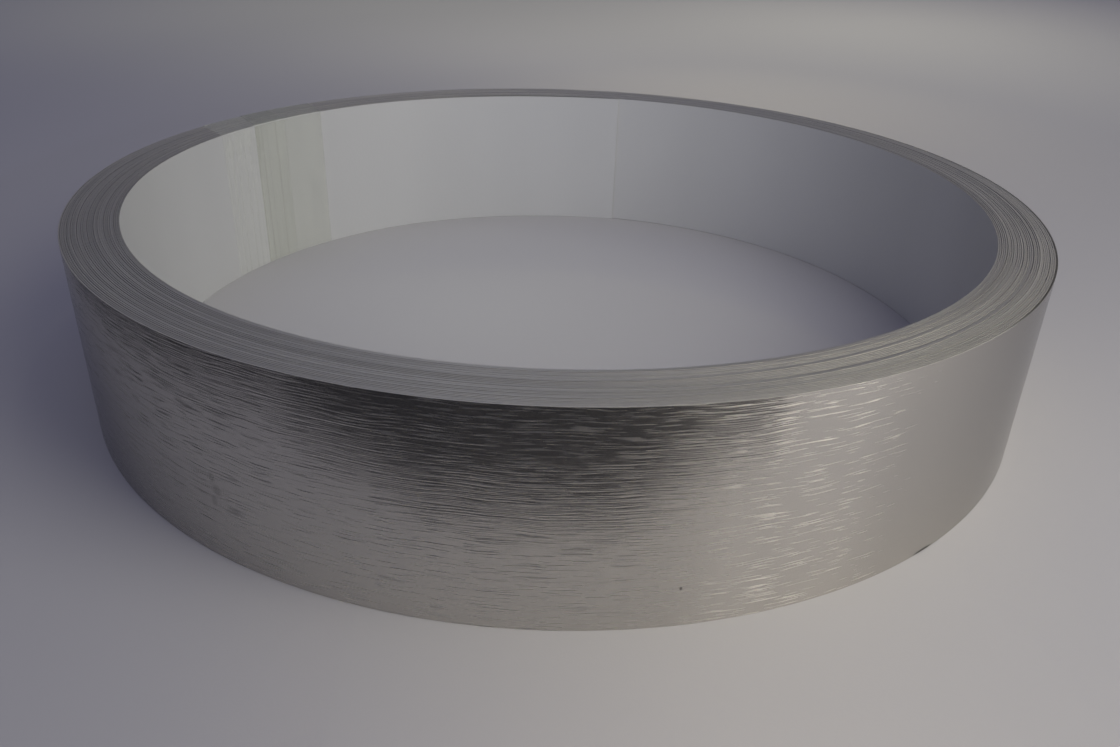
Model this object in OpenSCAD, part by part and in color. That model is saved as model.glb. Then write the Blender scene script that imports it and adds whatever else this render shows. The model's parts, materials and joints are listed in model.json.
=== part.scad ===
// Coil of aluminium trim cap: one long flat strip, brushed on its outside and
// painted white on its back, wound tight and lying flat on its edges.
// Two bands of adhesive tape hold the turns together.
// The origin is the bore's centre on the floor, and +Z is the coil's axis.
// Directions are in degrees, counter-clockwise from +X seen from above.

/* [Strip] */
// Width of the strip, which is the coil's height
strip_width = 100; // [60:5:130]
// Thickness of the strip
strip_thickness = 0.8; // [0.6:0.1:1.2]

/* [Coil] */
// Diameter of the bore
bore_diameter = 476; // [360:2:600]
// Number of turns
turns = 31; // [12:1:45]
// Air left between one turn and the next
turn_gap = 0.12; // [0.1:0.02:0.3]
// Width of the groove that shows between two turns on the ends
groove_width = 0.3; // [0.2:0.05:0.5]
// Depth of that groove
groove_depth = 0.8; // [0.4:0.1:2]
// How far the loosest turns have risen above the ones that rest on the floor
turn_lift = 0.8; // [0:0.1:2]

/* [Tape] */
// Width of each tape band
tape_width = 60; // [30:5:75]
// Thickness of the tape
tape_thickness = 0.1; // [0.06:0.02:0.2]
// Layer of adhesive under each band
adhesive = 0.05; // [0.02:0.01:0.1]
// Direction of the under band's middle, where it stands in the bore
under_band_angle = 153.3; // [0:0.1:360]
// Direction of the over band's middle, where it stands in the bore
over_band_angle = 145.6; // [0:0.1:360]
// How far each band swings round on its way over the turns to the outside
band_skew = 2.5; // [-5:0.5:5]
// Height of both bands' lower ends above the floor, in the bore
bore_end = 0.5; // [0.5:0.5:30]
// Height of the under band's lower end above the floor, on the outside wall
under_band_end = 18; // [2:1:40]
// Height of the over band's lower end above the floor, on the outside wall
over_band_end = 30; // [2:1:40]

/* [Hidden] */
$fn = 180;

bore_radius = bore_diameter / 2;
turn_pitch = strip_thickness + turn_gap;
coil_radius = bore_radius + turns * turn_pitch;
// No turn reaches above this height
coil_top = strip_width + turn_lift;
// Plan of a band: how far its edges run on past both walls, as a share of the turns' build
band_overrun = 0.5;

// Radius where turn i begins
function turn_start(i) = bore_radius + i * turn_pitch;

// Rise of turn i: uneven from turn to turn, and none on the first and the last
function rise(i) = turn_lift * max(0, sin(180 * i / (turns - 1)) * sin(137 * i));

// One turn's edge, from its inner to its outer corner, each half a groove in
function edge_in(i) = turn_start(i) + (i == 0 ? 0 : groove_width / 2);
function edge_out(i) = turn_start(i + 1) - (i == turns - 1 ? 0 : groove_width / 2);

// Upper outline of the section: each edge, then the groove that follows it
upper_outline = [
    for (i = [0 : turns - 1], step = [0 : (i == turns - 1 ? 1 : 2)])
        step == 0 ? [edge_in(i), strip_width + rise(i)]
        : step == 1 ? [edge_out(i), strip_width + rise(i)]
        : [turn_start(i + 1), strip_width + min(rise(i), rise(i + 1)) - groove_depth]
];

// Lower outline, back inwards: a turn that has risen leaves the floor by as much
lower_outline = [
    for (j = [0 : turns - 1], step = [0 : (j == turns - 1 ? 1 : 2)])
        let (i = turns - 1 - j)
        step == 0 ? [edge_out(i), rise(i)]
        : step == 1 ? [edge_in(i), rise(i)]
        : [turn_start(i), max(rise(i), rise(i - 1)) + groove_depth]
];

function on_circle(r, angle) = r * [cos(angle), sin(angle)];
function arc_degrees(length, r) = length / r * 180 / PI;

// All the turns as one turned solid with its bore
module trim_cap_coil() {
    color("#8c8985")
        rotate_extrude()
            polygon(concat(upper_outline, lower_outline));
}

// Section of a tape band: up the bore, over the turns and down the outside wall
module band_section(clearance, outside_end) {
    inner = bore_radius - clearance;
    outer = coil_radius + clearance;
    top = coil_top + clearance;
    polygon([
        [inner - tape_thickness, bore_end],
        [inner, bore_end],
        [inner, top],
        [outer, top],
        [outer, outside_end],
        [outer + tape_thickness, outside_end],
        [outer + tape_thickness, top + tape_thickness],
        [inner - tape_thickness, top + tape_thickness]
    ]);
}

// One long edge of a band seen from above, on side +1 or -1 of its middle
function band_edge(angle, side) =
    let (
        at_bore = on_circle(bore_radius, angle + side * arc_degrees(tape_width / 2, bore_radius)),
        at_rim = on_circle(
            coil_radius,
            angle - band_skew + side * arc_degrees(tape_width / 2, coil_radius)
        ),
        run = band_overrun * (at_rim - at_bore)
    )
    [at_bore - run, at_rim + run];

// Outline of a band seen from above
module band_plan(angle) {
    left = band_edge(angle, 1);
    right = band_edge(angle, -1);
    polygon([left[0], left[1], right[1], right[0]]);
}

module tape_band(angle, clearance, outside_end) {
    intersection() {
        rotate_extrude()
            band_section(clearance, outside_end);
        linear_extrude(height = 2 * coil_top)
            band_plan(angle);
    }
}

// The band that was stuck on first, straight on the strip
module tape_band_under() {
    color("#b4b28a")
        tape_band(under_band_angle, adhesive, under_band_end);
}

// The band that was stuck on last, one thickness further out
module tape_band_over() {
    color("#a5a67c")
        tape_band(over_band_angle, 2 * adhesive + tape_thickness, over_band_end);
}

trim_cap_coil();
tape_band_under();
tape_band_over();
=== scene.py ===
"""Coil of aluminium trim cap, lying flat: one long strip in a spiral, and its tape.

The strip is 100 mm wide and 0.8 mm thick, brushed on its outside and painted
white on its back. Two bands of clear packing tape hold its turns together.
Everything is in metres, with the bore's centre on the floor at the origin and
the coil's axis up. Directions are angles counter-clockwise from +X, from above.
"""

import json
from math import pi, radians

import bpy
import numpy as np
from bpy.props import FloatProperty, FloatVectorProperty, IntProperty, PointerProperty
from mathutils import Matrix, Quaternion, Vector


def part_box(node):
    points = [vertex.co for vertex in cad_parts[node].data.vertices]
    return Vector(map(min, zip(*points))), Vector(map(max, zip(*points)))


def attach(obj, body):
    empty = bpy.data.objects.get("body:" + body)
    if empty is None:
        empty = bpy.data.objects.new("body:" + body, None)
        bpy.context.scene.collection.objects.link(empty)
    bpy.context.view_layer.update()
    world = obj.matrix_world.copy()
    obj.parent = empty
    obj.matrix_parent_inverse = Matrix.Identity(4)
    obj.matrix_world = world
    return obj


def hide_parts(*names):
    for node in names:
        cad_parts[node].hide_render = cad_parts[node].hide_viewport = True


bl_info = {
    "name": "Coil of aluminium trim cap",
    "version": (1, 0, 0),
    "blender": (4, 5, 0),
    "location": "3D View > Sidebar > Trim cap",
    "description": "Winds a brushed aluminium strip into a coil and tapes it",
    "category": "Object",
}

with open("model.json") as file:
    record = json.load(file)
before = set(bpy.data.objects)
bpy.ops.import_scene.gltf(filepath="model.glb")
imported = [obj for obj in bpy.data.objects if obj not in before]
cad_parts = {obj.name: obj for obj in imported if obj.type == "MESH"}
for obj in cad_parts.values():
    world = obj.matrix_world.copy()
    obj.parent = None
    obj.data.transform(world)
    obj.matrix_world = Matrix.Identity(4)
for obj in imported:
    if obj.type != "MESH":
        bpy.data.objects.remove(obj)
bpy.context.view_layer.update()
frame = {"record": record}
COIL_LOW, COIL_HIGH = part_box("trim_cap_coil")
BORE = next(m for m in frame["record"]["mounts"] if m["name"] == "bore")

STRIP_MAP, TAPE_MAP = "strip_length_and_width", "tape_width_and_length"


def linear(code):
    """Scene-linear colour of an sRGB hex code, by the sRGB curve."""
    s = np.array([int(code[i : i + 2], 16) for i in (1, 3, 5)]) / 255
    return tuple(np.where(s <= 0.04045, s / 12.92, ((s + 0.055) / 1.055) ** 2.4).tolist())


# --------------------------------------------------------------------------
# Sizes and colours
# --------------------------------------------------------------------------


def length(name, description, default):
    """Length setting, in metres."""
    return FloatProperty(
        name=name, description=description, default=default,
        unit="LENGTH", subtype="DISTANCE", precision=5,
    )


def direction(name, description, default):
    """Angle setting, with its default in degrees."""
    return FloatProperty(
        name=name, description=description, default=radians(default), subtype="ANGLE"
    )


def colour(name, description, code):
    """Colour setting, with its default as an sRGB hex code."""
    return FloatVectorProperty(
        name=name, description=description, default=linear(code),
        subtype="COLOR", size=3, min=0, max=1,
    )


class TrimCapStrip(bpy.types.PropertyGroup):
    """Sizes of the wound strip."""

    bore_radius: length("Bore radius", "Radius inside the first turn", BORE["dims"]["r_mm"] / 1000)
    coil_radius: length(
        "Coil radius", "Radius outside the last turn", (COIL_HIGH.x - COIL_LOW.x) / 2
    )
    width: length(
        "Strip width", "Width of the strip, the coil's height", BORE["dims"]["length_mm"] / 1000
    )
    thickness: length("Strip thickness", "Thickness of the strip", 0.0008)
    corner: length("Edge corner", "Corner taken off the strip's cut edges", 0.00007)
    full_turns: IntProperty(
        name="Full turns", description="Full turns, before the strip runs on to its outer end",
        default=30, min=2,
    )
    seam: direction("Inner end", "Direction of the strip's inner end, in the bore", 79.2)
    outer_end: direction("Outer end", "Direction of the strip's outer end, under the tape", 147.2)
    rise: length("Edge rise", "How far the loosest turns stand above the lowest", 0.0006)
    looseness: length("Looseness", "How far turns move off an even spiral", 0.00007)
    bow: length("End bow", "How far the inner end bows into the bore", 0.0020)
    bow_length: length("End bow length", "Length of strip that bows at the inner end", 0.21)
    segments: IntProperty(
        name="Segments", description="Steps of the strip's mesh in one turn", default=240, min=48
    )


class TrimCapTape(bpy.types.PropertyGroup):
    """Sizes of the two tape bands."""

    width: length("Tape width", "Width of each band", 0.060)
    thickness: length("Tape thickness", "Thickness of the film", 0.00007)
    adhesive: length("Adhesive", "Layer of adhesive under a band", 0.00005)
    under: direction("Under band", "Direction of the under band's middle in the bore", 153.3)
    over: direction("Over band", "Direction of the over band's middle in the bore", 145.6)
    skew: direction("Skew", "How far a band swings round on its way outwards", 2.5)
    bore_end: length("End in the bore", "Height of the bands' ends in the bore", 0.0005)
    under_end: length("Under band's end", "Height of its end on the outside", 0.018)
    over_end: length("Over band's end", "Height of its end on the outside", 0.030)
    turn_over: length("Turn-over", "Radius at which the film turns over the rims", 0.0016)
    wrinkle: length("Wrinkles", "Height of the wrinkles", 0.0004)


class TrimCapFinish(bpy.types.PropertyGroup):
    """Colours of the finishes."""

    brushed: colour("Brushed face", "Aluminium of the brushed face", "#cecbc6")
    cut: colour("Cut edge", "Bare aluminium where the strip was slit", "#c4c3ba")
    paint: colour("Back paint", "White paint on the strip's back", "#bfbfbe")
    under_tape: colour("Under band", "Film of the under band", "#f8fbe8")
    over_tape: colour("Over band", "Film of the over band", "#dcdecd")


class TrimCapStage(bpy.types.PropertyGroup):
    """Floor, lamps and room light."""

    floor: colour("Floor", "Plain pale floor", "#adabaa")
    floor_radius: length("Floor radius", "Radius of the floor", 9.0)
    key: FloatProperty(name="Lamps", description="Share of the lamps' power", default=1.0, min=0)
    fill: FloatProperty(
        name="Room", description="Strength of the room's soft light", default=1.0, min=0
    )


# --------------------------------------------------------------------------
# Mesh tools
# --------------------------------------------------------------------------


def smoothstep(low, high, x):
    """0 below low, 1 above high, and 3t^2 - 2t^3 in between."""
    t = np.clip((x - low) / (high - low), 0, 1)
    return t * t * (3 - 2 * t)


def swept_faces(rings, corners, closed):
    """Quads between neighbouring rings of a swept profile.

    Vertex k of ring i is number i * corners + k. Each quad runs from ring i to
    ring i + 1 and from corner k to k + 1, so a profile that runs anticlockwise
    seen against the sweep gets faces that point outwards.
    """
    i = np.arange(rings - 1)[:, None] * corners
    k = np.arange(corners if closed else corners - 1)[None, :]
    n = (k + 1) % corners
    return np.stack([i + k, i + corners + k, i + corners + n, i + n], -1).reshape(-1, 4)


def new_piece(name, points, faces, caps=()):
    """Object with a smooth-shaded mesh of these points, quads and end caps."""
    mesh = bpy.data.meshes.new(name)
    mesh.from_pydata(points.reshape(-1, 3).tolist(), [], faces.tolist() + [list(c) for c in caps])
    mesh.shade_smooth()
    piece = bpy.data.objects.new(name, mesh)
    bpy.context.scene.collection.objects.link(piece)
    return piece


def sharpen(mesh, is_sharp):
    """Keeps the shading apart along each edge for which is_sharp(a, b) holds."""
    ends = np.empty(len(mesh.edges) * 2, np.int64)
    mesh.edges.foreach_get("vertices", ends)
    a, b = ends.reshape(-1, 2).T
    mesh.attributes.new("sharp_edge", "BOOLEAN", "EDGE").data.foreach_set("value", is_sharp(a, b))


# --------------------------------------------------------------------------
# Node tools
# --------------------------------------------------------------------------


def feed(tree, node, inputs):
    """Gives a node's inputs their values, or the outputs that drive them.

    A node given in place of one of its outputs stands for the first.
    """
    for key, value in inputs.items():
        if isinstance(value, bpy.types.Node):
            value = value.outputs[0]
        if isinstance(value, bpy.types.NodeSocket):
            tree.links.new(value, node.inputs[key])
        else:
            node.inputs[key].default_value = value


def add(tree, kind, inputs=None, **settings):
    """Adds a node with its settings and feeds its inputs."""
    made = tree.nodes.new(kind)
    for key, value in settings.items():
        setattr(made, key, value)
    feed(tree, made, inputs or {})
    return made


def new_material(name):
    """Empty material with a Principled shader wired to its output."""
    material = bpy.data.materials.new(name)
    material.use_nodes = True
    tree = material.node_tree
    tree.nodes.clear()
    shader = add(tree, "ShaderNodeBsdfPrincipled")
    add(tree, "ShaderNodeOutputMaterial", {"Surface": shader})
    return material, tree, shader


def grain(tree, at, size_x, size_y, detail):
    """Noise whose patches are about this many metres across both ways."""
    grid = add(
        tree, "ShaderNodeVectorMath", {0: at, 1: (1 / size_x, 1 / size_y, 0)},
        operation="MULTIPLY",
    )
    return add(
        tree, "ShaderNodeTexNoise", {"Vector": grid, "Scale": 1.0, "Detail": detail},
        noise_dimensions="2D",
    )


def along_strip(tree, at, stops):
    """Value that changes along the strip, eased from stop to stop.

    A stop is a number of metres from the strip's outer end and the value there.
    """
    reach = stops[-1][0]
    split = add(tree, "ShaderNodeSeparateXYZ", {0: at})
    share = add(tree, "ShaderNodeMath", {0: split, 1: reach}, operation="DIVIDE")
    ramp = add(tree, "ShaderNodeValToRGB", {"Fac": share})
    ramp.color_ramp.interpolation = "EASE"
    points = ramp.color_ramp.elements
    while len(points) < len(stops):
        points.new(0.5)
    for point, (metres, value) in zip(points, stops):
        point.position, point.color = metres / reach, (value, value, value, 1)
    return ramp


def spot(tree, at, centre, reach, depth):
    """1 away from a soft oval spot on the strip, and 1 - depth in its middle."""
    place = add(tree, "ShaderNodeVectorMath", {0: at, 1: (*centre, 0)}, operation="SUBTRACT")
    oval = add(
        tree, "ShaderNodeVectorMath", {0: place, 1: (1 / reach[0], 1 / reach[1], 0)},
        operation="MULTIPLY",
    )
    away = add(tree, "ShaderNodeVectorMath", {0: oval}, operation="LENGTH")
    return add(
        tree, "ShaderNodeMapRange",
        {
            "Value": away.outputs["Value"], "From Min": SPOT_CORE, "From Max": 1.0,
            "To Min": 1 - depth, "To Max": 1.0,
        },
        interpolation_type="SMOOTHSTEP",
    )


# --------------------------------------------------------------------------
# Finishes
# --------------------------------------------------------------------------


# The span that most of a noise's values lie in
NOISE_SPAN = {"From Min": 0.3, "From Max": 0.7}
# Share of a spot's half-width, from its middle, that is at full depth
SPOT_CORE = 0.4

# Brushing: length and thickness of the lines in metres, and the noise's detail,
# for the deep lines, the fine ones, and the patches in which the belt bit deep;
# then the depth of the deep lines from patch to patch
DEEP_LINES = (0.018, 0.0006, 0.0)
FINE_LINES = (0.007, 0.0003, 0.0)
DEEP_PATCHES = (0.060, 0.004, 1.0)
PATCH_DEPTH = {"From Min": 0.25, "From Max": 0.65, "To Min": 0.65}
# The lines wander up and down by half a millimetre over some 40 mm: wanders in
# a metre, and metres for the noise's whole span
LINE_DRIFT = (28.0, 0.0022)
# Depth of the lines in metres, and the fine lines' share of it
LINE_DEPTH, FINE_DEPTH = 0.00013, 0.05
# Tone from the bottom of a deep line to its top, roughness from the flat sheet
# to a line's top, and the fine lines' share in that roughness
LINE_TONE = {"From Min": -0.3, "From Max": 0.3, "To Min": 0.95, "To Max": 1.02}
LINE_ROUGHNESS = {"From Min": 0.0, "From Max": 0.30, "To Min": 0.16, "To Max": 0.5}
FINE_ROUGHNESS = 0.5
# How far the lines stretch a reflection across themselves
STRETCH = 0.85
# How deep the belt bit, as metres from the strip's outer end and depth
BITE = (
    (0, 1), (0.20, 1), (0.74, 0.2), (0.94, 0.2), (0.965, 0.44), (1.05, 0.68), (1.12, 0.78),
    (1.16, 0.6), (1.21, 0.6), (1.245, 0.8), (1.26, 0.8), (1.33, 0.5), (1.50, 0.5), (1.60, 1),
    (3.3, 1),
)
# Painted highlight on the face, lighter along a short stretch in front, as metres from the outer
# end and tone
FACE_PAINTED_HIGHLIGHT = ((0, 1), (0.955, 1), (0.985, 1.12), (1.03, 1.12), (1.055, 1), (3.3, 1))
# Dark marks on the face: place from the outer end and from the lower edge,
# half-width both ways, depth
MARKS = (
    ((1.2440, 0.0405), (0.0022, 0.0034), 0.2), ((1.2420, 0.0350), (0.0032, 0.0038), 0.22),
    ((1.2445, 0.0290), (0.0022, 0.0034), 0.2), ((1.0496, 0.0186), (0.0008, 0.0011), 0.75),
    ((0.9240, 0.0004), (0.0085, 0.0014), 0.7),
)
# Tone along the outermost turn's rim, darker on the right and far side, then lighter
# in front as a painted highlight, as metres from the outer end and tone
RIM_DARKENING_AND_PAINTED_HIGHLIGHT = (
    (0, 1), (0.36, 1), (0.44, 0.4), (0.86, 0.35), (0.91, 1), (1.0, 1.14), (1.3, 1.14), (1.45, 1),
    (3.3, 1),
)
# Share of light that rough metal still returns at a grazing angle, on the
# brushed face and on the cut edges
FACE_GRAZING = (0.75, 0.75, 0.75, 1)
EDGE_GRAZING = (0.55, 0.55, 0.55, 1)


def brushed_aluminium(c):
    """Aluminium sheet, mill-rolled and then brushed along its length with a belt.

    The brushing leaves broken lines 10 to 25 mm long that lie along the strip.
    They spread a reflection up and down but keep it narrow sideways. Between
    the lines the sheet still mirrors softly; a line's sloping sides catch light
    from much higher or lower, so lines show bright before something dark and
    dark before something bright. Real lines are a few hundredths of a
    millimetre thick; these are drawn 0.6 mm thick, because finer ones would not
    show.
    """
    material, tree, shader = new_material("brushed_aluminium")
    at = add(tree, "ShaderNodeUVMap", uv_map=STRIP_MAP)
    drift = add(
        tree, "ShaderNodeTexNoise", {"Vector": at, "Scale": LINE_DRIFT[0], "Detail": 1.0},
        noise_dimensions="2D",
    )
    wander = add(
        tree, "ShaderNodeVectorMath", {0: drift.outputs["Color"], 1: (0, LINE_DRIFT[1], 0)},
        operation="MULTIPLY",
    )
    waved = add(tree, "ShaderNodeVectorMath", {0: at, 1: wander}, operation="ADD")
    # Deep lines, cut deeper in some patches and where the belt bit
    bite = along_strip(tree, at, BITE)
    where = add(
        tree, "ShaderNodeMapRange",
        {"Value": grain(tree, waved, *DEEP_PATCHES), **PATCH_DEPTH},
        interpolation_type="SMOOTHSTEP",
    )
    bitten = add(tree, "ShaderNodeMath", {0: where, 1: bite}, operation="MULTIPLY")
    deep = grain(tree, waved, *DEEP_LINES)
    deep = add(tree, "ShaderNodeMath", {0: deep, 1: 0.5}, operation="SUBTRACT")
    cut = add(tree, "ShaderNodeMath", {0: deep, 1: bitten}, operation="MULTIPLY")
    # Fine lines between them
    fine = grain(tree, waved, *FINE_LINES)
    fine = add(tree, "ShaderNodeMath", {0: fine, 1: 0.5}, operation="SUBTRACT")
    fine = add(tree, "ShaderNodeMath", {0: fine, 1: bite}, operation="MULTIPLY")
    height = add(
        tree, "ShaderNodeMath", {0: fine, 1: FINE_DEPTH, 2: cut}, operation="MULTIPLY_ADD"
    )
    bump = add(
        tree, "ShaderNodeBump", {"Height": height, "Distance": LINE_DEPTH, "Strength": 1.0}
    )
    coarse = add(
        tree, "ShaderNodeMath", {0: fine, 1: FINE_ROUGHNESS, 2: cut}, operation="MULTIPLY_ADD"
    )
    rough = add(
        tree, "ShaderNodeMapRange", {"Value": coarse, **LINE_ROUGHNESS},
        interpolation_type="SMOOTHSTEP",
    )
    shade = add(tree, "ShaderNodeMapRange", {"Value": cut, **LINE_TONE})
    # The face's tone times a painted highlight along part of the strip, then times each dark mark
    for change in (along_strip(tree, at, FACE_PAINTED_HIGHLIGHT), *(spot(tree, at, *mark) for mark in MARKS)):
        shade = add(tree, "ShaderNodeMath", {0: shade, 1: change}, operation="MULTIPLY")
    tinted = add(
        tree, "ShaderNodeVectorMath", {0: tuple(c.brushed), "Scale": shade}, operation="SCALE"
    )
    feed(tree, shader, {
        "Base Color": tinted, "Roughness": rough, "Normal": bump,
        # The tangent runs along the strip, and a quarter turn from it lies across
        "Tangent": add(tree, "ShaderNodeTangent", direction_type="UV_MAP", uv_map=STRIP_MAP),
        "Metallic": 1.0, "Anisotropic": STRETCH, "Anisotropic Rotation": 0.25,
        "Specular Tint": FACE_GRAZING,
    })
    return material


def cut_aluminium(c):
    """Bare aluminium at the strip's slit edges.

    Slitting knives leave a matt edge that is partly sheared and partly torn.
    Each turn shows it a little lighter or darker than the next.
    """
    material, tree, shader = new_material("cut_aluminium_edge")
    at = add(tree, "ShaderNodeUVMap", uv_map=STRIP_MAP)
    # A turn's own tone over some 220 mm, and tears 3.5 mm long
    by_turn = grain(tree, at, 0.22, 0.02, detail=3.0)
    tear = grain(tree, at, 0.0035, 0.0004, detail=2.0)
    bump = add(tree, "ShaderNodeBump", {"Height": tear, "Distance": 0.00005, "Strength": 1.0})
    tone = add(
        tree, "ShaderNodeMapRange", {"Value": by_turn, **NOISE_SPAN, "To Min": 0.84, "To Max": 1.1}
    )
    # The outermost rim darker on the right and lighter in front, the lighter stretch a painted
    # highlight
    rim_toned = add(
        tree, "ShaderNodeMath", {0: tone, 1: along_strip(tree, at, RIM_DARKENING_AND_PAINTED_HIGHLIGHT)}, operation="MULTIPLY"
    )
    tinted = add(
        tree, "ShaderNodeVectorMath", {0: tuple(c.cut), "Scale": rim_toned}, operation="SCALE"
    )
    rough = add(
        tree, "ShaderNodeMapRange", {"Value": tear, **NOISE_SPAN, "To Min": 0.56, "To Max": 0.72}
    )
    feed(tree, shader, {
        "Base Color": tinted, "Roughness": rough, "Normal": bump,
        "Metallic": 1.0, "Specular Tint": EDGE_GRAZING,
    })
    return material


def back_paint(c):
    """White polyester paint, rolled onto the strip's back and baked.

    It is satin and even, with a faint orange peel and the roller's slow change
    of tone along the strip.
    """
    material, tree, shader = new_material("white_coil_paint")
    at = add(tree, "ShaderNodeUVMap", uv_map=STRIP_MAP)
    # The roller's change of tone over 80 mm, and orange peel of some 2 mm
    rolled = grain(tree, at, 0.08, 0.30, detail=1.0)
    peel = add(
        tree, "ShaderNodeTexNoise", {"Vector": at, "Scale": 450.0, "Detail": 1.0},
        noise_dimensions="2D",
    )
    bump = add(tree, "ShaderNodeBump", {"Height": peel, "Distance": 0.00003, "Strength": 1.0})
    tone = add(
        tree, "ShaderNodeMapRange",
        {"Value": rolled, **NOISE_SPAN, "To Min": 0.975, "To Max": 1.02},
    )
    tinted = add(
        tree, "ShaderNodeVectorMath", {0: tuple(c.paint), "Scale": tone}, operation="SCALE"
    )
    feed(tree, shader, {"Base Color": tinted, "Normal": bump, "Roughness": 0.42, "IOR": 1.5})
    return material


def between_turns(name, tint, metallic):
    """The strip's two sides where turns lie against each other.

    Only a thread of either side shows, where a turn stands above the next, so
    they are plain. The paint's side comes in dark grey, as painted shade of the gaps.
    """
    material, tree, shader = new_material(name)
    feed(tree, shader, {"Base Color": (*tint, 1), "Metallic": metallic, "Roughness": 0.45})
    return material


def packing_tape(name, film, see_through):
    """Clear polypropylene packing tape, yellowed by its adhesive.

    The film is thin and glossy. What it lies on shows through, greener and a
    little darker, with the fine lines along it that stretching the film left.
    """
    material, tree, shader = new_material(name)
    at = add(tree, "ShaderNodeUVMap", uv_map=TAPE_MAP)
    # Lines 60 mm long, 2 mm apart
    lines = grain(tree, at, 0.0022, 0.06, detail=2.0)
    tone = add(
        tree, "ShaderNodeMapRange", {"Value": lines, **NOISE_SPAN, "To Min": 0.88, "To Max": 1.1}
    )
    tinted = add(
        tree, "ShaderNodeVectorMath", {0: tuple(film), "Scale": tone}, operation="SCALE"
    )
    bump = add(tree, "ShaderNodeBump", {"Height": lines, "Distance": 0.00001, "Strength": 1.0})
    feed(tree, shader, {
        "Base Color": tinted, "Normal": bump,
        "Alpha": see_through, "Roughness": 0.22, "IOR": 1.49,
    })
    return material


# --------------------------------------------------------------------------
# Strip
# --------------------------------------------------------------------------


# Turns' wander off the even spiral, as waves of (share, step from one turn to
# the next, start); the turns over which it sets in, and those before the outer
# end over which it fades
WANDER = ((0.6, 2.39, 0.0), (0.4, 0.9, 1.0))
WANDER_IN, WANDER_OUT = (0.9, 2.5), (2.5, 1.0)

# Turns' rise off the floor, as waves of (step from one turn to the next, waves
# round the coil, share, start); the turns over which it sets in, those before
# the outer end over which it falls, and how far it falls
RISE = ((0.41, 1, 0.30, 0.4), (0.83, -1, 0.26, 2.1), (1.47, 2, 0.22, 4.0), (2.39, 0, 0.22, 1.3))
RISE_IN, RISE_OUT, RISE_FALL = (0.0, 2.0), (8, 3), 0.75
# Side where the tape holds the turns, in degrees, how much it takes off their
# rise, and how narrowly it does so
TAPED_SIDE, TAPED_FALL, TAPED_POWER = 149, 0.5, 12

# Grey of the paint seen edge-on between turns: the white paint darkened as painted shade of the
# narrow gaps
THREAD_PAINTED_SHADE = "#6b6b69"


def total_turns(s):
    """Turns from the inner end to the outer end."""
    return s.full_turns + ((s.outer_end - s.seam) / (2 * pi)) % 1.0


def inner_radius(s, turn):
    """Radius of the strip's inner face after so many turns.

    An even spiral, r = bore + pitch * turn, plus a small wander that leaves
    some turns tighter than others. Near the inner end the strip bows inwards by
    27/4 * bow * x * (1 - x)^2, x being the share of the bowed length: nothing
    at the end itself, and nothing again where the bow runs out.
    """
    turns = total_turns(s)
    pitch = (s.coil_radius - s.bore_radius - s.thickness) / turns
    wander = sum(share * np.sin(step * turn + start) for share, step, start in WANDER)
    fades = smoothstep(turns - WANDER_OUT[0], turns - WANDER_OUT[1], turn)
    free = smoothstep(*WANDER_IN, turn) * (1 - fades)
    x = np.clip(turn * 2 * pi * s.bore_radius / s.bow_length, 0, 1)
    bowed = 6.75 * s.bow * x * (1 - x) ** 2
    return s.bore_radius + pitch * turn + s.looseness * wander * free - bowed


def edge_rise(s, turn):
    """Height of the strip's lower edge above the floor after so many turns.

    A sum of sines of the turn number. Each moves on by its own step from one
    turn to the next, and has a whole number of waves round the coil. The rise
    fades where the coil is held tight: on the first and last turns, and under
    the tape.
    """
    turns = total_turns(s)
    total = sum(
        share * np.sin((step + 2 * pi * round_coil) * turn + start)
        for step, round_coil, share, start in RISE
    )
    falls = RISE_FALL * smoothstep(turns - RISE_OUT[0], turns - RISE_OUT[1], turn)
    ends = smoothstep(*RISE_IN, turn) * (1 - falls)
    away = s.seam + 2 * pi * turn - radians(TAPED_SIDE)
    under_tape = ((1 + np.cos(away)) / 2) ** TAPED_POWER
    return s.rise * (0.5 + 0.5 * total) * ends * (1 - TAPED_FALL * under_tape)


def strip_profile(s):
    """Section of the strip as (outwards, up), anticlockwise, with cut corners."""
    t, w, c = s.thickness, s.width, s.corner
    return np.array([
        (t, c), (t, w - c), (t - c, w), (c, w), (0, w - c), (0, c), (c, 0), (t - c, 0),
    ])


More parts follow.
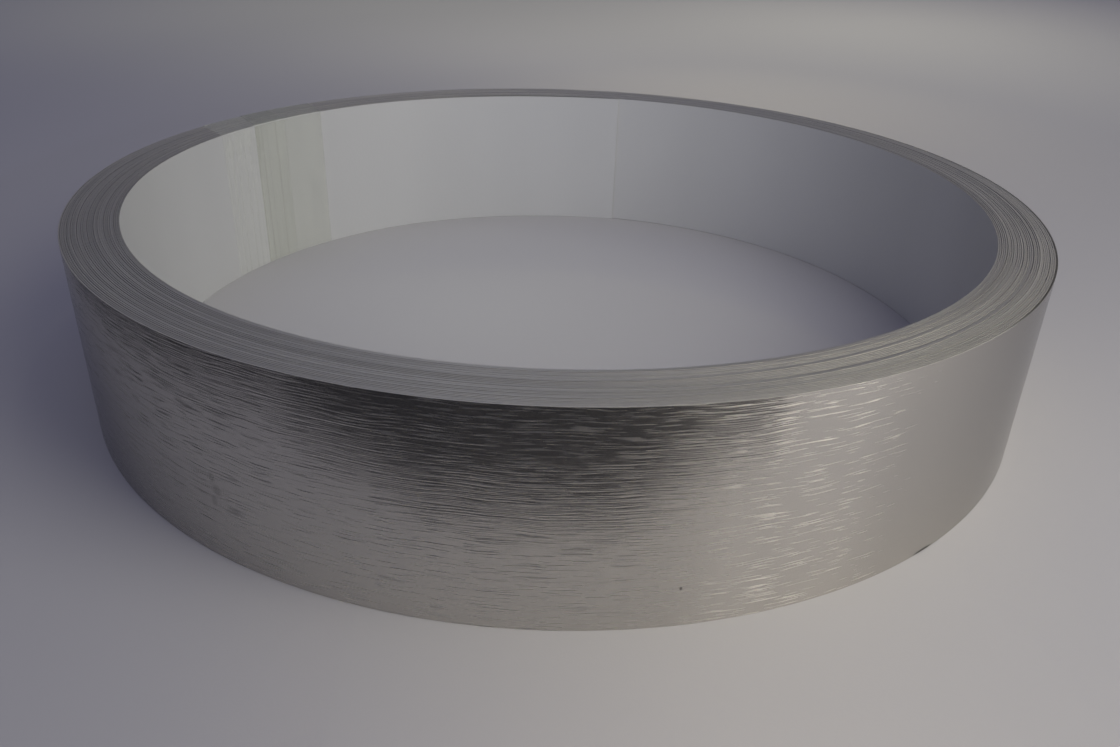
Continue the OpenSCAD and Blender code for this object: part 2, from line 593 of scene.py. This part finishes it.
class TRIMCAP_OT_strip(bpy.types.Operator):
    """Wind the strip into a spiral, from its inner end in the bore outwards"""

    bl_idname = "trimcap.strip"
    bl_label = "Wind the strip"

    def execute(self, context):
        s, c = context.scene.trim_cap_strip, context.scene.trim_cap_finish
        turns = total_turns(s)
        rings = round(turns * s.segments) + 1
        turn = np.linspace(0, turns, rings)
        around = s.seam + 2 * pi * turn
        profile = strip_profile(s)
        corners = len(profile)

        radius = inner_radius(s, turn)[:, None] + profile[:, 0]
        up = edge_rise(s, turn)[:, None] + profile[:, 1]
        x, y = np.cos(around)[:, None], np.sin(around)[:, None]
        points = np.stack([radius * x, radius * y, up], -1)
        faces = swept_faces(rings, corners, closed=True)
        caps = (range(corners), range(rings * corners - 1, (rings - 1) * corners - 1, -1))
        strip = new_piece("trim_cap_strip", points, faces, caps)
        mesh = strip.data
        # Edges along the strip, and those round its two ends, stay sharp.
        ends = (0, rings - 1)
        sharpen(mesh, lambda a, b: (a % corners == b % corners)
                | (np.isin(a // corners, ends) & (a // corners == b // corners)))

        # Slots: brushed face, painted back, cut edges, and both sides between turns.
        for made in (
            brushed_aluminium(c), back_paint(c), cut_aluminium(c),
            between_turns("aluminium_between_turns", c.brushed, 1.0),
            # The paint's sides between turns are dark grey, as painted shade of the gaps
            between_turns("paint_between_turns_painted_shade", linear(THREAD_PAINTED_SHADE), 0.0),
        ):
            mesh.materials.append(made)
        side = np.tile(np.arange(corners), rings - 1)
        middle = np.repeat((turn[1:] + turn[:-1]) / 2, corners)
        slot = np.full(len(faces), 2)
        slot[side == 0] = np.where(middle[side == 0] > turns - 1, 0, 3)
        slot[side == 4] = np.where(middle[side == 4] < 1, 1, 4)
        mesh.polygons.foreach_set("material_index", np.append(slot, [2, 2]).astype(np.int32))

        self.lay_map(mesh, s, turns, turn, profile)
        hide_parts("trim_cap_coil")
        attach(strip, "root")
        return {"FINISHED"}

    def lay_map(self, mesh, s, turns, turn, profile):
        """UV map in metres: length from the outer end, and distance round the section.

        The length of a spiral is its mean radius times its angle, so from the
        inner end it is 2 pi (r0 * turn + pitch * turn^2 / 2).
        """
        pitch = (s.coil_radius - s.bore_radius - s.thickness) / turns
        run = 2 * pi * ((s.bore_radius + s.thickness / 2) * turn + pitch * turn**2 / 2)
        u = run[-1] - run
        step = np.linalg.norm(np.roll(profile, -1, 0) - profile, axis=1)
        v = np.append(0, np.cumsum(step))
        i, k = np.meshgrid(np.arange(len(turn) - 1), np.arange(len(profile)), indexing="ij")
        ring = np.stack([i, i + 1, i + 1, i], -1)
        corner = np.stack([k, k, k + 1, k + 1], -1)
        sides = np.stack([u[ring], v[corner]], -1).reshape(-1, 2)
        cap = np.stack([profile[:, 0], profile[:, 1]], -1)
        uv = np.concatenate([sides, cap, cap[::-1] + (run[-1], 0)])
        mesh.uv_layers.new(name=STRIP_MAP).data.foreach_set("uv", uv.astype(np.float32).ravel())


# --------------------------------------------------------------------------
# Tape
# --------------------------------------------------------------------------


# Folds in the film: place across and along the band, half-width both ways, and
# height in wrinkle heights. The film turns over the bore's rim 98 to 101 mm
# along.
UNDER_FOLDS = (
    (0.007, 0.093, 0.0030, 0.0030, 0.9), (0.023, 0.089, 0.0022, 0.0035, 0.8),
    (0.014, 0.094, 0.0014, 0.0080, 0.5), (-0.004, 0.091, 0.0012, 0.0100, 0.4),
    (0.028, 0.112, 0.0030, 0.0040, 0.7),
)
OVER_FOLDS = (
    (0.0295, 0.086, 0.0009, 0.0080, 0.9), (0.029, 0.109, 0.0014, 0.0026, 1.2),
    (0.024, 0.108, 0.0010, 0.0045, 0.8), (0.010, 0.092, 0.0010, 0.0110, 0.4),
    (-0.006, 0.093, 0.0011, 0.0090, 0.5), (-0.021, 0.090, 0.0009, 0.0120, 0.35),
)


# Ripples that run along a band: faint base, then waves of (height, width in
# metres, share of the band's own start), all in wrinkle heights
RIPPLE_BASE, RIPPLES = 0.06, ((0.03, 0.0007, 1), (0.03, 0.0004, 2))
# Share of light that each film stops
UNDER_FILM, OVER_FILM = 0.07, 0.12
# Lines across a band, and steps up the bore, over the turns, down the outside
# and round each quarter turn
BAND_LINES, BAND_STEPS, QUARTER_STEPS = 61, (70, 24, 60), 7
# How far the film stands over a turn that lies on the floor, which clears the
# risen turns too, and the height of its ends' teeth
EDGE_CLEAR, TOOTH = 0.0004, 0.0009


def band_lines(s, t, middle, across):
    """Where each lengthwise line of a band crosses the two rims, as directions.

    A line stands across / radius to the side of the band's middle, and the
    middle swings round by the skew on its way from the bore to the outside.
    """
    return middle + across / s.bore_radius, middle - t.skew + across / s.coil_radius


def band_path(s, t, outside_end, lift):
    """Section of a band: up the bore, over the turns and down the outside.

    Corners are quarter circles of the turn-over radius. Gives, for each step,
    the place outwards from the bore's wall, the height, and both parts of the
    direction that the film faces.
    """
    r = t.turn_over
    bore, rim = -lift, s.coil_radius - s.bore_radius + lift
    top = s.width + EDGE_CLEAR + lift
    quarter = np.linspace(0, pi / 2, QUARTER_STEPS)
    up = np.linspace(t.bore_end, top - r, BAND_STEPS[0])
    over = np.linspace(bore + r, rim - r, BAND_STEPS[1])[1:-1]
    down = np.linspace(top - r, outside_end, BAND_STEPS[2])
    out = np.concatenate([
        np.full(len(up), bore), bore + r * (1 - np.cos(quarter)), over,
        rim - r * (1 - np.sin(quarter)), np.full(len(down), rim),
    ])
    high = np.concatenate([
        up, top - r * (1 - np.sin(quarter)), np.full(len(over), top),
        top - r * (1 - np.cos(quarter)), down,
    ])
    face_out = np.concatenate([
        np.full(len(up), -1.0), -np.cos(quarter), np.zeros(len(over)), np.sin(quarter),
        np.ones(len(down)),
    ])
    face_up = np.concatenate([
        np.zeros(len(up)), np.sin(quarter), np.ones(len(over)), np.cos(quarter),
        np.zeros(len(down)),
    ])
    return out, high, face_out, face_up


class TRIMCAP_OT_tape(bpy.types.Operator):
    """Lay the two bands of tape over the turns, the under band first"""

    bl_idname = "trimcap.tape"
    bl_label = "Lay the tape bands"

    def execute(self, context):
        scene = context.scene
        s, t, c = scene.trim_cap_strip, scene.trim_cap_tape, scene.trim_cap_finish
        self.lay(s, t, "tape_band_under_film", "tape_band_under", t.under, t.under_end, t.adhesive,
                 packing_tape("packing_tape_under", c.under_tape, UNDER_FILM), UNDER_FOLDS,
                 start=1.0)
        self.lay(s, t, "tape_band_over_film", "tape_band_over", t.over, t.over_end,
                 2 * t.adhesive + t.thickness,
                 packing_tape("packing_tape_over", c.over_tape, OVER_FILM), OVER_FOLDS,
                 start=2.3)
        return {"FINISHED"}

    def lay(self, s, t, name, node, middle, outside_end, lift, finish, folds, start):
        """One band as a closed film of its own thickness.

        The outer side is a grid of lines across and steps along; the inner side
        is the same grid one thickness down along the film's own direction.
        """
        lines = BAND_LINES
        across = np.linspace(-t.width / 2, t.width / 2, lines)
        out, high, face_out, face_up = band_path(s, t, outside_end, lift)
        steps = len(out)
        at_bore, at_rim = band_lines(s, t, middle, across)
        share = np.clip(out / (s.coil_radius - s.bore_radius), 0, 1)
        around = at_bore[None, :] + (at_rim - at_bore)[None, :] * share[:, None]
        # The bore's wall is not a circle: the film follows the first turn.
        turn = ((around - s.seam) / (2 * pi)) % 1.0
        wall = inner_radius(s, turn) - s.bore_radius
        near_bore = (1 - share)[:, None] * wall
        along = np.append(0, np.cumsum(np.hypot(np.diff(out), np.diff(high))))
        puff = self.wrinkles(t, across, along, folds, start)
        base = s.bore_radius + out[:, None] + near_bore
        radius = base + puff * face_out[:, None]
        height = high[:, None] + puff * face_up[:, None]
        # Toothed ends, as the dispenser's blade cuts them.
        tooth = TOOTH * (np.arange(lines) % 2 - 0.5)
        height[0] += tooth
        height[-1] += tooth
        x, y = np.cos(around), np.sin(around)
        outer = np.stack([radius * x, radius * y, height], -1)
        radius = radius - t.thickness * face_out[:, None]
        height = height - t.thickness * face_up[:, None]
        inner = np.stack([radius * x, radius * y, height], -1)
        # One ring of points round the film at each step: outer side, then inner side back.
        ring = np.concatenate([outer, inner[:, ::-1]], 1)
        corners = 2 * lines
        faces = swept_faces(steps, corners, closed=True)
        i = np.arange(lines - 1)
        first = np.stack([i, i + 1, corners - 2 - i, corners - 1 - i], -1)
        last = first[:, ::-1] + (steps - 1) * corners
        band = new_piece(name, ring, np.concatenate([faces, first, last]))
        mesh = band.data
        edges = (0, lines - 1, lines, corners - 1)
        sharpen(mesh, lambda a, b: np.isin(a % corners, edges) & (a % corners == b % corners))
        mesh.materials.append(finish)
        place = np.concatenate([across, across[::-1]])
        grid = np.stack(np.broadcast_arrays(place[None, :], along[:, None]), -1).reshape(-1, 2)
        corner_of = np.empty(len(mesh.loops), np.int64)
        mesh.loops.foreach_get("vertex_index", corner_of)
        uv = grid[corner_of].astype(np.float32).ravel()
        mesh.uv_layers.new(name=TAPE_MAP).data.foreach_set("uv", uv)
        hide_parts(node)
        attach(band, "root")

    def wrinkles(self, t, across, along, folds, start):
        """Height of the film above a smooth lie, as a sum of ridges.

        A fold is a bell across the band times a bell along it, given as its
        place and half-width both ways and its height in wrinkle heights. Faint
        ripples run lengthwise from end to end.
        """
        x, y = across[None, :], along[:, None]
        ripple = sum(
            (high * np.sin(x / wide + share * start) for high, wide, share in RIPPLES),
            RIPPLE_BASE,
        )
        bells = sum(
            high * np.exp(-(((x - x0) / wide) ** 2) - ((y - y0) / long) ** 2)
            for x0, y0, wide, long, high in folds
        )
        return t.wrinkle * (ripple + bells)


# --------------------------------------------------------------------------
# Stage
# --------------------------------------------------------------------------


# Lamps: name; direction and height in degrees, and distance, from the bore's
# centre; the point aimed at; size, spread in degrees, watts, tint, and what it
# lights. Matt surfaces and reflections have lamps of their own, so that either
# can be set alone.
LAMPS = (
    ("key_lamp", (-35, 30, 1.6), (0, 0, 0), 0.9, 180, 4.85, (1.0, 1.0, 0.90), "matt"),
    ("near_lamp", (-45, 45, 0.9), (0, 0, 0), 0.6, 180, 2.6, (1.0, 0.98, 0.89), "matt"),
    ("inside_lamp", (-34, 81, 0.91), (-0.07, 0.03, 0), 0.1, 30, 0.04, (0.95, 1.0, 0.84), "matt"),
    ("front_floor_lamp", (-80, 30, 1.0), (0.07, -0.36, 0), 0.1, 32, 0.05, (1.0, 0.88, 0.6),
     "matt"),
    ("back_floor_lamp", (77, 35, 1.68), (0.22, 0.55, 0), 0.1, 40, 0.17, (1.0, 0.9, 0.55), "matt"),
    ("behind_lamp", (97, 36, 1.36), (0.05, 0.92, 0), 0.1, 90, 0.24, (1.0, 0.98, 0.85), "matt"),
    ("left_floor_lamp", (-160, 40, 0.85), (-0.42, -0.1, 0), 0.1, 50, 0.008, (1.0, 0.95, 0.8),
     "matt"),
    ("far_corner_lamp", (60, 26, 2.78), (1.1, 2.1, 0), 0.6, 100, 0.95, (1.0, 0.96, 0.78), "matt"),
    ("far_left_lamp", (117, 46, 1.94), (-0.3, 1.9, 0), 0.6, 100, 1.75, (1.0, 1.0, 0.66), "matt"),
    ("far_middle_lamp", (62, 35, 2.08), (0.5, 1.6, 0), 0.6, 100, 1.9, (1.0, 0.98, 0.78), "matt"),
    ("far_right_lamp", (35, 44.5, 1.71), (0.5, 1.1, 0), 0.6, 100, 1.2, (1.0, 0.98, 0.80), "matt"),
    ("window", (-30, 30, 1.4), (0, 0, 0), 1.5, 180, 16.5, (1.0, 0.93, 0.79), "reflections"),
    ("rim_lamp", (99, 37, 1.35), (-0.03, -0.25, 0.1), 0.1, 14, 0.0048, (0.83, 0.87, 1.0),
     "reflections"),
)
# Room: the side that each lobe of light comes from, and its strength and tint
ROOM = (((0, -1, 0), (0.66, 0.675, 0.80)), ((0, 0, 1), (0.25, 0.257, 0.435)))
# Share of the floor's colour that the wall behind it shows
WALL_SHARE = 0.5

# Floor: rings of points, points in a ring, the first ring's share of the
# radius, and how far the floor lies under the coil
FLOOR_RINGS, FLOOR_POINTS, FLOOR_FIRST, FLOOR_DROP = 24, 96, 0.02, 0.00005

# Black cards: the near edge of the one on the floor, as direction in degrees
# and radius, and its far edge
CARD_EDGE = (
    (-245, 0.79), (-180, 0.42), (-128, 0.41), (-123, 0.385), (-105, 0.345), (-84, 0.341),
    (-78, 0.36), (-70, 0.398), (-60, 0.42), (-48, 0.66), (-42, 0.79),
)
CARD_FAR = 0.80
# The one that stands there: the directions over which it rises to its height,
# where it ends, and that height
CARD_RISES, CARD_ENDS, CARD_HEIGHT = (-245, -180), -60, 0.9
# Steps along the cards, and how far they lie over the floor
CARD_STEPS, CARD_LIFT = 159, 0.0005
CARD_BLACK = (0.02, 0.02, 0.023, 1)

# Camera: place, point aimed at, roll in degrees, lens and sensor width in mm,
# and the nearest and farthest that it sees
CAMERA_PLACE, CAMERA_AIM = (0.0, -0.5431, 0.2592), (0.0032, 0, -0.0277)
CAMERA_ROLL, CAMERA_LENS, CAMERA_SENSOR = 1.90, 30.39, 36.0
CAMERA_REACH = (0.01, 50)


def plain_floor(colour_of_floor):
    """Matt painted board, even all over, with a grain of about a millimetre."""
    material, tree, shader = new_material("matt_floor_board")
    at = add(tree, "ShaderNodeTexCoord").outputs["Object"]
    rough = add(tree, "ShaderNodeTexNoise", {"Vector": at, "Scale": 900.0, "Detail": 1.0})
    bump = add(tree, "ShaderNodeBump", {"Height": rough, "Distance": 0.00002, "Strength": 1.0})
    feed(tree, shader, {
        "Normal": bump, "Base Color": (*colour_of_floor, 1), "Roughness": 0.75,
    })
    return material


def black_card():
    """Matt black card on the side that faces the coil, and clear from behind.

    It is clear, too, to light that has come up through the card on the floor,
    so the floor does not reflect the cards.
    """
    material, tree, shader = new_material("black_card")
    feed(tree, shader, {"Base Color": CARD_BLACK, "Roughness": 0.9})
    behind = add(tree, "ShaderNodeNewGeometry").outputs["Backfacing"]
    passed = add(tree, "ShaderNodeLightPath").outputs["Transparent Depth"]
    unseen = add(
        tree, "ShaderNodeMath", {0: behind, 1: passed}, operation="MAXIMUM", use_clamp=True
    )
    clear = add(tree, "ShaderNodeBsdfTransparent")
    sided = add(tree, "ShaderNodeMixShader", {0: unseen, 1: shader, 2: clear})
    feed(tree, tree.nodes["Material Output"], {"Surface": sided})
    return material


def facing(place, target):
    """Matrix at a place with its -Z towards the target."""
    turn = (Vector(target) - Vector(place)).to_track_quat("-Z", "Y")
    return Matrix.Translation(place) @ turn.to_matrix().to_4x4()


class TRIMCAP_OT_stage(bpy.types.Operator):
    """Set up the floor, the lamps and the camera"""

    bl_idname = "trimcap.stage"
    bl_label = "Set the stage"

    def execute(self, context):
        scene = context.scene
        g = scene.trim_cap_stage
        self.floor(g)
        self.lamps(scene, g)
        self.room(scene, g)
        self.cards(scene)
        self.camera(scene)
        scene.view_settings.view_transform = "Standard"
        return {"FINISHED"}

    def floor(self, g):
        """A round floor: rings of points at radius * share^2, shares evenly spaced."""
        r = g.floor_radius * np.linspace(FLOOR_FIRST, 1, FLOOR_RINGS) ** 2
        a = np.linspace(0, 2 * pi, FLOOR_POINTS, endpoint=False)
        down = np.full((FLOOR_RINGS, FLOOR_POINTS), -FLOOR_DROP)
        points = np.stack([r[:, None] * np.cos(a), r[:, None] * np.sin(a), down], -1)
        faces = swept_faces(FLOOR_RINGS, FLOOR_POINTS, closed=True)
        floor = new_piece("floor", points, faces, [range(FLOOR_POINTS)])
        floor.data.materials.append(plain_floor(g.floor))

    def lamps(self, scene, g):
        """Hangs each lamp at its place, aimed, for matt surfaces or for reflections."""
        for name, (azimuth, elevation, distance), aim, size, spread, power, tint, lights in LAMPS:
            a, e = radians(azimuth), radians(elevation)
            way = Vector((np.cos(a) * np.cos(e), np.sin(a) * np.cos(e), np.sin(e)))
            data = bpy.data.lights.new(name, "AREA")
            data.shape, data.size, data.spread = "DISK", size, radians(spread)
            data.energy, data.color = power * g.key, tint
            lamp = bpy.data.objects.new(name, data)
            lamp.matrix_world = facing(distance * way, aim)
            lamp.visible_glossy = lights == "reflections"
            lamp.visible_diffuse = lights == "matt"
            scene.collection.objects.link(lamp)

    def room(self, scene, g):
        """Soft light from the room: one broad lobe per side.

        A lobe's strength is the square of the direction's share towards its
        side, and nothing on the far side. The camera sees a plain wall instead,
        in a share of the floor's colour.
        """
        world = bpy.data.worlds.new("soft_room")
        world.use_nodes = True
        tree = world.node_tree
        tree.nodes.clear()
        way = add(tree, "ShaderNodeTexCoord").outputs["Generated"]
        total = (0.0, 0.0, 0.0)
        for axis, tint in ROOM:
            towards = add(tree, "ShaderNodeVectorMath", {0: way, 1: axis}, operation="DOT_PRODUCT")
            share = towards.outputs["Value"]
            ahead = add(tree, "ShaderNodeMath", {0: share, 1: 0.0}, operation="MAXIMUM")
            lobe = add(tree, "ShaderNodeMath", {0: ahead, 1: 2.0}, operation="POWER")
            light = add(tree, "ShaderNodeVectorMath", {0: tint, "Scale": lobe}, operation="SCALE")
            total = add(tree, "ShaderNodeVectorMath", {0: light, 1: total}, operation="ADD")
        sky = add(tree, "ShaderNodeBackground", {"Color": total, "Strength": g.fill})
        wall = add(tree, "ShaderNodeBackground", {"Color": (*g.floor, 1), "Strength": WALL_SHARE})
        seen = add(tree, "ShaderNodeLightPath").outputs["Is Camera Ray"]
        both = add(tree, "ShaderNodeMixShader", {0: seen, 1: sky, 2: wall})
        add(tree, "ShaderNodeOutputWorld", {"Surface": both})
        scene.world = world

    def cards(self, scene):
        """Black cards in front that only reflections show.

        One lies on the floor in an arc round the coil; the other stands at its
        far edge. Their three lines of points are the near edge, the far edge,
        and the standing card's top.
        """
        a, near = np.array(CARD_EDGE).T
        step = np.linspace(a[0], a[-1], CARD_STEPS)
        near = np.interp(step, a, near)
        far = np.full(len(step), CARD_FAR)
        a, radius = np.radians(step), np.stack([near, far, far])
        stands = smoothstep(*CARD_RISES, step) * (step < CARD_ENDS)
        up = np.stack([0 * far, 0 * far, CARD_HEIGHT * stands]) + CARD_LIFT
        points = np.stack([radius * np.cos(a), radius * np.sin(a), up], -1).reshape(-1, 3)
        faces = swept_faces(3, len(step), closed=False).tolist()
        mesh = bpy.data.meshes.new("black_cards")
        mesh.from_pydata(points.tolist(), [], faces)
        mesh.materials.append(black_card())
        cards = bpy.data.objects.new("black_cards", mesh)
        cards.visible_camera = cards.visible_diffuse = False
        cards.visible_shadow = cards.visible_transmission = False
        scene.collection.objects.link(cards)

    def camera(self, scene):
        """A camera in front and above, rolled a little to one side."""
        data = bpy.data.cameras.new("camera")
        data.lens, data.sensor_width, data.sensor_fit = CAMERA_LENS, CAMERA_SENSOR, "HORIZONTAL"
        data.clip_start, data.clip_end = CAMERA_REACH
        place = Vector(CAMERA_PLACE)
        turn = (Vector(CAMERA_AIM) - place).to_track_quat("-Z", "Y")
        roll = Quaternion((0, 0, 1), radians(CAMERA_ROLL))
        camera = bpy.data.objects.new("camera", data)
        camera.matrix_world = Matrix.Translation(place) @ (turn @ roll).to_matrix().to_4x4()
        scene.collection.objects.link(camera)
        scene.camera = camera


# --------------------------------------------------------------------------
# Panel, registration and the run itself
# --------------------------------------------------------------------------


class TRIMCAP_PT_panel(bpy.types.Panel):
    """Sizes, colours and steps of the coil, in the sidebar"""

    bl_idname = "TRIMCAP_PT_panel"
    bl_label = "Coil of aluminium trim cap"
    bl_space_type = "VIEW_3D"
    bl_region_type = "UI"
    bl_category = "Trim cap"

    def draw(self, context):
        for group in GROUPS:
            box = self.layout.box()
            settings = getattr(context.scene, group)
            for key in settings.bl_rna.properties.keys():
                if key not in ("rna_type", "name"):
                    box.prop(settings, key)
        for operator in OPERATORS:
            self.layout.operator(operator.bl_idname)


GROUPS = {
    "trim_cap_strip": TrimCapStrip,
    "trim_cap_tape": TrimCapTape,
    "trim_cap_finish": TrimCapFinish,
    "trim_cap_stage": TrimCapStage,
}
OPERATORS = (TRIMCAP_OT_strip, TRIMCAP_OT_tape, TRIMCAP_OT_stage)


def register():
    for cls in (*GROUPS.values(), *OPERATORS, TRIMCAP_PT_panel):
        bpy.utils.register_class(cls)
    for name, cls in GROUPS.items():
        setattr(bpy.types.Scene, name, PointerProperty(type=cls))


def unregister():
    for name in GROUPS:
        delattr(bpy.types.Scene, name)
    for cls in (TRIMCAP_PT_panel, *reversed(OPERATORS), *reversed(list(GROUPS.values()))):
        bpy.utils.unregister_class(cls)


def main():
    """Makes every piece and the stage."""
    register()
    bpy.ops.trimcap.strip()
    bpy.ops.trimcap.tape()
    bpy.ops.trimcap.stage()


if __name__ == "__main__":
    main()
